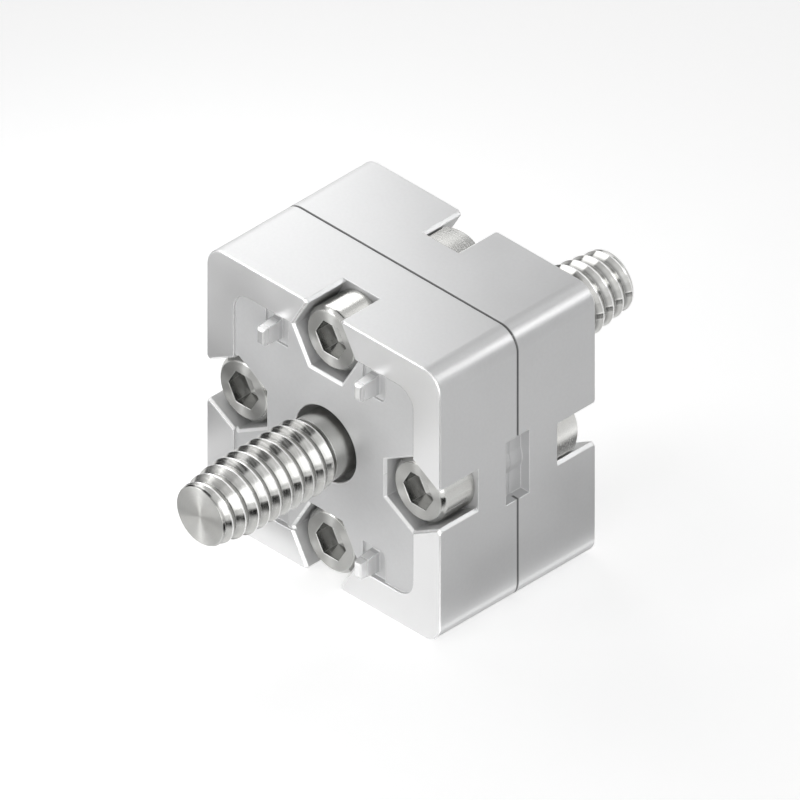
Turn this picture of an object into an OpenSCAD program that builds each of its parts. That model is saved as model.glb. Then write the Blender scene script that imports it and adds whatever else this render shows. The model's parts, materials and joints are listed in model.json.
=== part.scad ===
// Profile end connector: two cast halves, each fixed to the end of a square
// profile by one central screw, and clamped face to face by four screws and nuts.
// X runs to the right, Y along the profile axis to the rear, Z up. The origin is
// the middle of the block, and the joint between the halves is the plane Y = 0.

/* [Block] */
// Side of the square block, the same as the profile that it joins
block_w = 45; // [42:1:60]
// Thickness of each half along the profile axis
half_t = 15; // [14.5:0.5:20]
// Radius of the four long edges
edge_r = 3.3; // [1:0.1:5]
// Chamfer round each end face
face_chamfer = 0.15; // [0.1:0.05:0.5]
// Chamfer of each half along the joint
joint_chamfer = 0.2; // [0.1:0.05:0.4]

/* [End face] */
// Width of the raised rim that meets the profile
rim_w = 5.2; // [4.5:0.1:6]
// Depth of the recessed middle below the rim
recess_depth = 0.4; // [0.2:0.1:0.8]
// Corner radius of the recessed middle
recess_r = 3; // [1:0.5:5]
// Thickness under the head of the profile screw, measured from the rim
seat_t = 6; // [5:0.5:7]
// Radial clearance of the central bore round the profile screw's thread
bore_clearance = 0.3; // [0.2:0.1:1]
// Chamfer at the mouth of the central bore
bore_chamfer = 0.15; // [0.1:0.05:0.4]

/* [Locating lugs] */
// Distance of each lug from the vertical middle plane
lug_offset = 9.35; // [9:0.05:11]
// Distance of each lug from the nearest side of the block
lug_inset = 7.7; // [7.3:0.1:8.5]
// Width of a lug at its foot
lug_w = 1.5; // [1.2:0.1:2]
// Length of a lug at its foot
lug_l = 3.3; // [2.5:0.1:3.5]
// How far a lug stands out beyond the rim
lug_reach = 2.85; // [1:0.05:4]
// Draft of a lug's long ends, per side, over its whole height
lug_end_draft = 0.4; // [0:0.05:0.5]
// Draft of a lug's flanks, per side, over its whole height
lug_flank_draft = 0.08; // [0:0.02:0.2]
// Chamfer round a lug's tip
lug_chamfer = 0.2; // [0.1:0.05:0.3]
// Depth of the relief round a lug, below the recessed middle
relief_depth = 0.4; // [0.2:0.1:0.8]
// Room between a lug's flank and the side of its relief
relief_side = 1.4; // [0.8:0.05:1.6]
// Room between a lug's inner end and the end of its relief
relief_end = 0.7; // [0.4:0.1:1.5]
// Radius of the relief's outer corner
relief_r = 0.9; // [0.4:0.1:1.4]

/* [Pockets] */
// Distance of each clamp screw's axis from the nearest side of the block
clamp_inset = 5.65; // [5.65:0.05:7]
// Thickness between a pocket's floor and the joint
pocket_floor_t = 7.6; // [6.5:0.1:8]
// Clearance between a nut's flat and its pocket's wall
pocket_clearance = 0.3; // [0.1:0.05:0.4]
// Chamfer round a pocket's mouth on the end face
pocket_chamfer = 0.35; // [0.1:0.05:0.5]
// Chamfer of a pocket's opening on the side of the block
opening_chamfer = 0.5; // [0.2:0.05:0.8]

/* [Side windows] */
// Height of a window
window_h = 10.5; // [9:0.5:14]
// How far a window reaches from the joint into each half
window_reach = 2.25; // [1.5:0.25:4]
// Depth of a window
window_depth = 1.7; // [1:0.1:2.2]
// Wall left round the clamp screw's hole where it crosses a window
boss_wall = 0.95; // [0.8:0.05:1.2]

/* [Profile screws] */
// Length of the front profile screw under its head
front_screw_l = 29.8; // [26:0.2:45]
// Length of the rear profile screw under its head
rear_screw_l = 31.4; // [26:0.2:45]
// Diameter of the plain shank
shank_d = 9.8; // [9:0.1:10]
// Length of the plain shank under the head
shank_l = 8.25; // [8:0.05:12]
// Crest diameter of the thread
crest_d = 11.1; // [10.8:0.1:12]
// Depth of the thread
thread_depth = 0.6; // [0.4:0.05:0.7]
// Pitch of the thread
thread_pitch = 2.13; // [1.5:0.01:2.5]
// Width of the flat along the thread's crest
crest_flat = 0.2; // [0.1:0.05:0.4]
// Length of the front profile screw's tapered point
front_point_l = 6; // [3:0.2:9]
// Length of the rear profile screw's tapered point
rear_point_l = 7.6; // [3:0.2:9]
// Turn of the front profile screw about its axis, against the rear one's
front_screw_turn = -60; // [-180:60:180]
// Diameter of the point where it meets the chamfer of its end
point_d = 9.3; // [8:0.1:10]
// Length of the chamfer at the end of the point
point_chamfer = 0.4; // [0.2:0.1:0.8]
// Diameter of the screw head
profile_head_d = 20; // [16:0.5:21]
// Height of the screw head
profile_head_h = 7.4; // [5:0.2:7.4]
// Radial clearance of the hollow round the screw head
head_clearance = 1; // [0.5:0.25:1.5]
// Circle through the tips of the six-lobe drive
drive_d = 8.8; // [6:0.2:10]
// Depth of the six-lobe drive
drive_depth = 3.8; // [2:0.2:3.8]

/* [Clamp screws and nuts] */
// Diameter of the clamp screw's shank
clamp_d = 6; // [5:0.5:6.5]
// Radial clearance of the clamp screw in its hole
clamp_clearance = 0.3; // [0.1:0.05:0.4]
// Diameter of the clamp screw's head
clamp_head_d = 10; // [9:0.25:10]
// Height of the clamp screw's head
clamp_head_h = 6; // [5:0.25:6.5]
// Chamfer round the face of the head
clamp_head_chamfer = 0.6; // [0.3:0.1:0.8]
// Width across the flats of the hexagon socket
socket_af = 5; // [4:0.5:6]
// Depth of the hexagon socket
socket_depth = 3; // [2:0.25:4]
// Width across the flats of the nut
nut_af = 10; // [9.5:0.25:10.5]
// Height of the nut
nut_h = 4.4; // [4:0.2:6]
// Radial clearance of the nut's bore round the screw
nut_play = 0.05; // [0.02:0.01:0.1]
// How far the screw's tip stands out of the nut
tip_proud = 0.4; // [0.1:0.1:1]

/* [Hidden] */

$fn = 96;
// Overshoot of every cut beyond the surface that it opens
cut = 1;

// Turns of the four clamp screws about the profile axis, from the top round to the left
TOP = 0;
RIGHT = 1;
BOTTOM = 2;
LEFT = 3;

recess_w = block_w - 2 * rim_w;
recess_plane = half_t - recess_depth;
relief_plane = recess_plane - relief_depth;
lug_height = half_t + lug_reach - relief_plane;
lug_distance = block_w / 2 - lug_inset;
clamp_distance = block_w / 2 - clamp_inset;
clamp_hole_r = clamp_d / 2 + clamp_clearance;
pocket_af = nut_af + 2 * pocket_clearance;
bore_r = crest_d / 2 + bore_clearance;
hollow_r = profile_head_d / 2 + head_clearance;
hollow_depth = half_t - seat_t;
clamp_screw_l = 2 * pocket_floor_t + nut_h + tip_proud;

// Distance between opposite corners of a hexagon of a given width across flats
function hexagon_corners(af) = 2 * af / sqrt(3);

// Place a half's own frame, whose Z leaves the joint, at the front or the rear
module at_front() {
    rotate([90, 0, 0]) children();
}

module at_rear() {
    rotate([90, 0, 180]) children();
}

// Place a piece on one of the four clamp axes, with its X pointing outward
module on_clamp_axis(position) {
    rotate([0, 0, 90 - 90 * position]) translate([clamp_distance, 0, 0]) children();
}

// Square block with rounded long edges and a chamfer round each end
module rounded_block(w, h, r, low_chamfer, high_chamfer) {
    function outline(half, inner) = [
        [inner, 0], [half - low_chamfer, 0], [half, low_chamfer],
        [half, h - high_chamfer], [half - high_chamfer, h], [inner, h],
    ];
    function mirrored(points) = [for (i = [len(points) - 1:-1:0]) [-points[i][0], points[i][1]]];
    middle = w / 2 - r;
    side = outline(w / 2, 0);
    for (turn = [0, 90])
        rotate([90, 0, turn])
            linear_extrude(2 * middle, center = true) polygon(concat(side, mirrored(side)));
    for (x = [-middle, middle], y = [-middle, middle])
        translate([x, y, 0]) rotate_extrude() polygon(outline(r, 0));
}

// Straight-sided square with rounded corners
module rounded_square(w, r) {
    square([w, w - 2 * r], center = true);
    square([w - 2 * r, w], center = true);
    for (x = [-1, 1], y = [-1, 1])
        translate([x, y] * (w / 2 - r)) circle(r);
}

// Hexagon with a flat facing outward along X
module hexagon(af) {
    rotate(30) circle(d = hexagon_corners(af), $fn = 6);
}

// Half of a pocket's outline, grown by a margin all round, from its inner flat to its flare
function pocket_side(grown) =
    let (
        reach = clamp_inset + cut,
        flare = pocket_af / sqrt(3) / 2 - clamp_inset + opening_chamfer + grown * sqrt(2),
        slant = pocket_af / sqrt(3) + grown * 2 / sqrt(3),
        meet = (slant - flare) / (1 + 1 / sqrt(3))
    ) [
        [-pocket_af / 2 - grown, slant / 2],
        [0, slant],
        [meet, meet + flare],
        [reach, reach + flare],
    ];

// Pocket's mouth in the plane Z = 0, chamfered all round its outline
module pocket_mouth() {
    low = pocket_side(0);
    high = pocket_side(2 * pocket_chamfer);
    function ring(side, z) = [for (p = side) each [[p[0], p[1], z], [p[0], -p[1], z]]];
    last = len(low) - 1;
    walls = [
        for (i = [0:last - 1])
            let (a = 2 * i, b = 2 * i + 2 * last + 2)
                each [[a, a + 2, b + 2, b], [a + 1, b + 1, b + 3, a + 3]]
    ];
    caps = [
        for (i = [0:last - 1])
            let (a = 2 * i, b = 2 * i + 2 * last + 2)
                each [[a, a + 1, a + 3, a + 2], [b, b + 2, b + 3, b + 1]]
    ];
    ends = [[0, 2 * last + 2, 2 * last + 3, 1], [2 * last, 2 * last + 1, 4 * last + 3, 4 * last + 2]];
    polyhedron(
        concat(ring(low, -pocket_chamfer), ring(high, pocket_chamfer)),
        concat(walls, caps, ends)
    );
}

// Pocket for a screw head or a nut, open on the end face and on the side
module pocket_cut() {
    side = pocket_side(0);
    translate([0, 0, pocket_floor_t])
        linear_extrude(half_t - pocket_floor_t + cut) {
            hexagon(pocket_af);
            polygon([
                [0, -side[1][1]], [side[2][0], -side[2][1]], [side[3][0], -side[3][1]],
                side[3], side[2], [0, side[1][1]],
            ]);
        }
    translate([0, 0, half_t]) pocket_mouth();
}

// Outline of the relief round one lug, with its outer inward corner rounded
module relief_outline() {
    low = lug_distance - lug_l / 2 - relief_end;
    high = recess_w / 2;
    near = lug_offset - lug_w / 2 - relief_side;
    far = lug_offset + lug_w / 2 + relief_side;
    translate([near, low + relief_r]) square([far - near, high - low - relief_r]);
    translate([near, low]) square([far - near - relief_r, relief_r]);
    translate([far - relief_r, low + relief_r]) circle(relief_r);
}

// Tapered lug that stands on the plane Z = 0
module lug() {
    function side(foot, draft) = [
        [-foot / 2, 0], [foot / 2, 0],
        [foot / 2 - draft, lug_height - lug_chamfer],
        [foot / 2 - draft - lug_chamfer, lug_height],
        [-foot / 2 + draft + lug_chamfer, lug_height],
        [-foot / 2 + draft, lug_height - lug_chamfer],
    ];
    intersection() {
        rotate([90, 0, 0])
            linear_extrude(lug_l + cut, center = true) polygon(side(lug_w, lug_flank_draft));
        rotate([90, 0, 90])
            linear_extrude(lug_w + cut, center = true) polygon(side(lug_l, lug_end_draft));
    }
}

// Repeat what lies beside the top pocket at all four lug places
module at_lugs() {
    for (x = [0, 1], y = [0, 1])
        mirror([x, 0, 0]) mirror([0, y, 0]) children();
}

// Half of a side window, with the boss round the clamp screw's hole left standing
module window_cut() {
    outer = block_w / 2;
    difference() {
        translate([outer - window_depth, -window_h / 2, -cut])
            cube([window_depth + cut, window_h, window_reach + cut]);
        translate([clamp_distance, 0, -2 * cut])
            cylinder(h = window_reach + 3 * cut, r = clamp_hole_r + boss_wall);
    }
}

// One cast half in its own frame, with Z leaving the joint
module housing() {
    difference() {
        union() {
            difference() {
                rounded_block(block_w, half_t, edge_r, joint_chamfer, face_chamfer);
                translate([0, 0, recess_plane])
                    linear_extrude(recess_depth + cut) rounded_square(recess_w, recess_r);
                at_lugs() translate([0, 0, relief_plane])
                    linear_extrude(relief_depth + cut) relief_outline();
            }
            at_lugs() translate([lug_offset, lug_distance, relief_plane]) lug();
        }
        for (position = [TOP:LEFT])
            on_clamp_axis(position) {
                pocket_cut();
                translate([0, 0, -cut]) cylinder(h = half_t, r = clamp_hole_r);
            }
        intersection() {
            for (position = [TOP:LEFT])
                on_clamp_axis(position)
                    translate([0, 0, recess_plane]) pocket_mouth();
            translate([0, 0, recess_plane - cut])
                linear_extrude(2 * cut) rounded_square(recess_w, recess_r);
        }
        translate([0, 0, -cut]) cylinder(h = half_t + 2 * cut, r = bore_r);
        translate([0, 0, -cut]) cylinder(h = hollow_depth + cut, r = hollow_r);
        translate([0, 0, recess_plane - bore_chamfer])
            cylinder(h = 2 * bore_chamfer, r1 = bore_r, r2 = bore_r + 2 * bore_chamfer);
        for (turn = [0, 180])
            rotate([0, 0, turn]) window_cut();
    }
}

module front_housing() {
    color([0.78, 0.79, 0.8]) at_front() housing();
}

module rear_housing() {
    color([0.78, 0.79, 0.8]) at_rear() housing();
}

// Groove between the turns of a profile screw's thread, swept along a helix
module thread_groove(length, point_l) {
    steps_per_turn = 32;
    entry_angle = 102;
    crest_r = crest_d / 2;
    proud = 0.05;
    thread_start = shank_l;
    thread_end = length;
    point_start = length - point_l;
    point_slope = (crest_d - point_d) / 2 / point_l;
    half_width = (thread_pitch - crest_flat) / 2;
    flank = half_width / thread_depth;
    turns = (thread_end - thread_start) / thread_pitch + 2;
    steps = ceil(turns * steps_per_turn);
    function along(i) = thread_start - thread_pitch + i * thread_pitch / steps_per_turn;
    function drop(z) = max(0, z - point_start) * point_slope;
    function at(i, r, z) =
        let (angle = entry_angle + 360 * i / steps_per_turn) [r * cos(angle), r * sin(angle), z];
    function section(i) = let (z = along(i), r = crest_r - drop(z), wide = half_width + proud * flank) [
        at(i, r - thread_depth, z),
        at(i, r + proud, z + wide),
        at(i, r + proud, z - wide),
    ];
    points = [for (i = [0:steps]) each section(i)];
    sides = [
        for (i = [0:steps - 1], k = [0:2])
            let (a = 3 * i + k, b = 3 * i + (k + 1) % 3)
                each [[a, a + 3, b], [b, a + 3, b + 3]]
    ];
    caps = [[0, 1, 2], [3 * steps + 2, 3 * steps + 1, 3 * steps]];
    polyhedron(points, concat(sides, caps));
}

// Outline of the six-lobe drive
module six_lobe() {
    lobe_r = drive_d / 8;
    circle(d = drive_d * 0.8);
    for (i = [0:5])
        rotate(60 * i) translate([drive_d / 2 - lobe_r, 0]) circle(lobe_r);
}

// Thread-forming screw, head down on the plane Z = 0 and point up
module profile_screw(length, point_l) {
    head_chamfer = 0.6;
    run_out = thread_pitch / 2;
    difference() {
        rotate_extrude() polygon([
            [0, -profile_head_h],
            [profile_head_d / 2 - head_chamfer, -profile_head_h],
            [profile_head_d / 2, -profile_head_h + head_chamfer],
            [profile_head_d / 2, 0],
            [shank_d / 2, 0],
            [shank_d / 2, shank_l],
            [crest_d / 2, shank_l + run_out],
            [crest_d / 2, length - point_l],
            [point_d / 2, length - point_chamfer],
            [point_d / 2 - point_chamfer / 2, length],
            [0, length],
        ]);
        thread_groove(length, point_l);
        translate([0, 0, -profile_head_h - cut])
            linear_extrude(drive_depth + cut) six_lobe();
    }
}

module front_profile_screw() {
    color([0.72, 0.73, 0.7])
        at_front() translate([0, 0, hollow_depth]) rotate(front_screw_turn)
            profile_screw(front_screw_l, front_point_l);
}

module rear_profile_screw() {
    color([0.72, 0.73, 0.7])
        at_rear() translate([0, 0, hollow_depth]) profile_screw(rear_screw_l, rear_point_l);
}

// Socket head screw with its shank down the Z axis from the plane Z = 0
module socket_screw(length) {
    tip_chamfer = 0.5;
    difference() {
        rotate_extrude() polygon([
            [0, -length],
            [clamp_d / 2 - tip_chamfer, -length],
            [clamp_d / 2, -length + tip_chamfer],
            [clamp_d / 2, 0],
            [clamp_head_d / 2, 0],
            [clamp_head_d / 2, clamp_head_h - clamp_head_chamfer],
            [clamp_head_d / 2 - clamp_head_chamfer, clamp_head_h],
            [0, clamp_head_h],
        ]);
        translate([0, 0, clamp_head_h - socket_depth])
            linear_extrude(socket_depth + cut) circle(d = hexagon_corners(socket_af), $fn = 6);
    }
}

// One of the four clamp screws, whose sockets all have a corner along X
module clamp_screw(position) {
    turn = 90 - 90 * position;
    color([0.74, 0.75, 0.72])
        at_front() on_clamp_axis(position) translate([0, 0, pocket_floor_t])
            rotate([0, 0, -turn]) socket_screw(clamp_screw_l);
}

// Hexagon nut on the plane Z = 0, chamfered at both ends, with a flat facing outward
module hexagon_nut(af, h, bore) {
    corner_r = hexagon_corners(af) / 2;
    flat_r = af / 2;
    chamfer_drop = (corner_r - flat_r) * tan(30);
    lead_in = 0.35;
    difference() {
        intersection() {
            linear_extrude(h) hexagon(af);
            rotate_extrude() polygon([
                [0, 0], [flat_r, 0], [corner_r, chamfer_drop],
                [corner_r, h - chamfer_drop], [flat_r, h], [0, h],
            ]);
        }
        rotate_extrude() polygon([
            [0, -cut], [bore + lead_in + cut, -cut], [bore, lead_in],
            [bore, h - lead_in], [bore + lead_in + cut, h + cut], [0, h + cut],
        ]);
    }
}

// One of the four clamp nuts
module clamp_nut(position) {
    color([0.74, 0.75, 0.72])
        rotate([0, 0, 180]) at_front() mirror([1, 0, 0])
            on_clamp_axis(position) translate([0, 0, pocket_floor_t])
                hexagon_nut(nut_af, nut_h, clamp_d / 2 + nut_play);
}

front_housing();
rear_housing();
front_profile_screw();
rear_profile_screw();
clamp_screw(TOP);  // clamp_screw_top
clamp_screw(RIGHT);  // clamp_screw_right
clamp_screw(BOTTOM);  // clamp_screw_bottom
clamp_screw(LEFT);  // clamp_screw_left
clamp_nut(TOP);  // clamp_nut_top
clamp_nut(RIGHT);  // clamp_nut_right
clamp_nut(BOTTOM);  // clamp_nut_bottom
clamp_nut(LEFT);  // clamp_nut_left
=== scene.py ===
"""Looks of the profile end connector: its castings, profile screws, clamp screws and nuts.

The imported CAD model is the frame. The castings stay as they are and get their finish, and
the turned pieces are built again with fine threads, broken edges and true sockets.
Sizes of pieces and of the studio are millimetres, and finishes and Blender take metres.
"""

from __future__ import annotations

import json
import logging
import math
from collections.abc import Callable, Sequence
from dataclasses import dataclass, field
from enum import Enum

import bmesh
import bpy
import numpy as np
from bpy.types import Material, Node, NodeSocket, NodeTree, Object
from mathutils import Matrix, Vector

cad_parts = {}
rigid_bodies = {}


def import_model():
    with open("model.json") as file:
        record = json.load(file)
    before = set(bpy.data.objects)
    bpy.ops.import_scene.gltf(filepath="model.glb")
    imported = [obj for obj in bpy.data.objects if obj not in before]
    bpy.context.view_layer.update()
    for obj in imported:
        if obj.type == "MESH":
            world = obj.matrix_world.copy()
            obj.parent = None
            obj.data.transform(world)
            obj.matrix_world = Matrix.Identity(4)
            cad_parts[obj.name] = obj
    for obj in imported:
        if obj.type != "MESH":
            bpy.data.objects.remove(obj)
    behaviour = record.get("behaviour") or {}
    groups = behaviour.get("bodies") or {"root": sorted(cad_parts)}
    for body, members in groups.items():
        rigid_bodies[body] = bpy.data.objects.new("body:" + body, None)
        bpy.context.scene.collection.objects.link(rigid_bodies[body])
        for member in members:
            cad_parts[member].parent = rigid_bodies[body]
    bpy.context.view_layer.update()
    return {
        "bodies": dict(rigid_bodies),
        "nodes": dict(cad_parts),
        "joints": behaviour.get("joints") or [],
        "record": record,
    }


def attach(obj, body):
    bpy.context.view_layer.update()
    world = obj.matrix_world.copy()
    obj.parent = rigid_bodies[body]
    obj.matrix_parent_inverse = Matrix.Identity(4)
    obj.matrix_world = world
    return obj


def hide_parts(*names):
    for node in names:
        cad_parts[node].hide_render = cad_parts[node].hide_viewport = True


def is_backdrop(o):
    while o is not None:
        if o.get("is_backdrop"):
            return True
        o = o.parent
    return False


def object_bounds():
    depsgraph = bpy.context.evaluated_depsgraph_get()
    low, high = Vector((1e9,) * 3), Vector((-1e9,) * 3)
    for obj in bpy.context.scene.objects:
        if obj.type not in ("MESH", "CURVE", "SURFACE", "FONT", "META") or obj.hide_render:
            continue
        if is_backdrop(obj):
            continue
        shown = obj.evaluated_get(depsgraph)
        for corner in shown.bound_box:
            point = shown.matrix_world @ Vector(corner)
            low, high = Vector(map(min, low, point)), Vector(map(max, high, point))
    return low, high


LOG = logging.getLogger("end_connector")
MM = 0.001

Triple = tuple[float, float, float]
Colour = Triple
Ring = tuple[np.ndarray, np.ndarray]
Value = NodeSocket | float | Triple
Parts = bpy.types.bpy_prop_collection


class Direction(Enum):
    """A named direction in the row frame."""

    @property
    def label(self) -> str:
        """The name, as node names give it."""
        return self.name.lower()


class End(Direction):
    """Which end of the connector a piece faces."""

    FRONT = (0.0, -1.0, 0.0)
    REAR = (0.0, 1.0, 0.0)


class Place(Direction):
    """The four clamp axes, by where each lies from the middle."""

    TOP = (0.0, 0.0, 1.0)
    RIGHT = (1.0, 0.0, 0.0)
    BOTTOM = (0.0, 0.0, -1.0)
    LEFT = (-1.0, 0.0, 0.0)


# Node trees


@dataclass
class Graph:
    """Short way to fill a node tree."""

    tree: NodeTree

    def add(self, kind: str, **settings: object) -> Node:
        """Add a node and set its properties.

        Args:
            kind: Blender's class name of the node.
            **settings: Properties of the node.

        Returns:
            The new node.
        """
        node = self.tree.nodes.new(kind)
        for key, value in settings.items():
            setattr(node, key, value)
        return node

    def put(self, source: Value | Sequence[float], target: NodeSocket) -> None:
        """Link a socket to a target, or set the target to a plain value.

        Args:
            source: An output socket, or a value for the target.
            target: The input socket.
        """
        if isinstance(source, NodeSocket):
            self.tree.links.new(source, target)
        else:
            target.default_value = source

    def math(self, operation: str, *inputs: Value) -> NodeSocket:
        """Add a Math node.

        Args:
            operation: Blender's name of the operation.
            *inputs: Sockets or numbers for its inputs, in order.

        Returns:
            The node's result.
        """
        node = self.add("ShaderNodeMath", operation=operation)
        for socket, value in zip(node.inputs, inputs):
            self.put(value, socket)
        return node.outputs[0]

    def vector(self, operation: str, *inputs: Value) -> Node:
        """Add a Vector Math node.

        Args:
            operation: Blender's name of the operation.
            *inputs: Sockets or vectors for its inputs, in order.

        Returns:
            The node itself, because some operations put out a value.
        """
        node = self.add("ShaderNodeVectorMath", operation=operation)
        for socket, value in zip(node.inputs, inputs):
            self.put(value, socket)
        return node

    def times(self, first: Value, second: Value) -> NodeSocket:
        """Multiply two numbers."""
        return self.math("MULTIPLY", first, second)

    def remap(self, value: Value, low: float, high: float, to_low: float, to_high: float,
              smooth: bool = True) -> NodeSocket:
        """Map a range of values to another, clamped.

        Args:
            value: Socket or number to map.
            low: Value that becomes to_low.
            high: Value that becomes to_high.
            to_low: Result at low.
            to_high: Result at high.
            smooth: Whether the ends are eased.

        Returns:
            The mapped value.
        """
        node = self.add("ShaderNodeMapRange", interpolation_type="SMOOTHSTEP" if smooth else "LINEAR")
        for key, entry in zip(("Value", "From Min", "From Max", "To Min", "To Max"),
                              (value, low, high, to_low, to_high)):
            self.put(entry, node.inputs[key])
        return node.outputs["Result"]

    def rise(self, value: Value, low: float, high: float) -> NodeSocket:
        """Mask that rises from 0 where a value is low to 1 where it is high."""
        return self.remap(value, low, high, 0.0, 1.0)

    def fall(self, value: Value, low: float, high: float) -> NodeSocket:
        """Mask that falls from 1 where a value is low to 0 where it is high."""
        return self.remap(value, low, high, 1.0, 0.0)

    def spread(self, noise: Value, low: float, high: float) -> NodeSocket:
        """Stretch a noise, nearly all of which lies between 0.3 and 0.7, over a range."""
        return self.remap(noise, 0.3, 0.7, low, high)

    def blend(self, factor: Value, first: Value, second: Value) -> NodeSocket:
        """Mix two colours.

        Args:
            factor: Socket or number from 0 to 1.
            first: Socket or colour at 0.
            second: Socket or colour at 1.

        Returns:
            The mixed colour.
        """
        node = self.add("ShaderNodeMix", data_type="RGBA", clamp_factor=True)
        self.put(factor, node.inputs[0])
        # Inputs 6 and 7 and output 2 are the node's colour sockets
        for socket, colour in zip((node.inputs[6], node.inputs[7]), (first, second)):
            self.put((*colour, 1.0) if isinstance(colour, tuple) else colour, socket)
        return node.outputs[2]

    def scaled(self, vector: Value, factor: Value) -> NodeSocket:
        """Multiply a vector or a colour by a number."""
        return self.fill(self.vector("SCALE", vector), Scale=factor).outputs[0]

    def unit(self, vector: Value) -> NodeSocket:
        """Give a vector the length 1."""
        return self.vector("NORMALIZE", vector).outputs[0]

    def place(self) -> NodeSocket:
        """Coordinates of the surface in the object's own frame."""
        return self.add("ShaderNodeTexCoord").outputs["Object"]

    def split(self, vector: NodeSocket) -> Parts:
        """Take a vector apart.

        Args:
            vector: The vector's socket.

        Returns:
            Its parts, under the names X, Y and Z.
        """
        node = self.add("ShaderNodeSeparateXYZ")
        self.put(vector, node.inputs[0])
        return node.outputs

    def radius(self, first: Value, second: Value) -> NodeSocket:
        """Distance from an axis, out of the two coordinates across it."""
        squares = [self.times(part, part) for part in (first, second)]
        return self.math("SQRT", self.math("ADD", *squares))

    def seen(self) -> NodeSocket:
        """Mask that is 1 for rays from the camera, from a reflection or through clear matter.

        Returns:
            The mask.
        """
        path = self.add("ShaderNodeLightPath").outputs
        onward = self.math("MAXIMUM", path["Is Glossy Ray"], path["Is Transmission Ray"])
        return self.math("MAXIMUM", path["Is Camera Ray"], onward)

    def fill(self, node: Node, **values: Value | Sequence[float]) -> Node:
        """Link or set named inputs of a node.

        Args:
            node: The node.
            **values: Sockets or plain values for its inputs, with spaces written as underscores.

        Returns:
            The node.
        """
        for key, value in values.items():
            self.put(value, node.inputs[key.replace("_", " ")])
        return node

    def group(self, shared: NodeTree, **values: Value) -> Parts:
        """Place a shared node group with its own values, and give its outputs."""
        return self.fill(self.add("ShaderNodeGroup", node_tree=shared), **values).outputs


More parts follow.
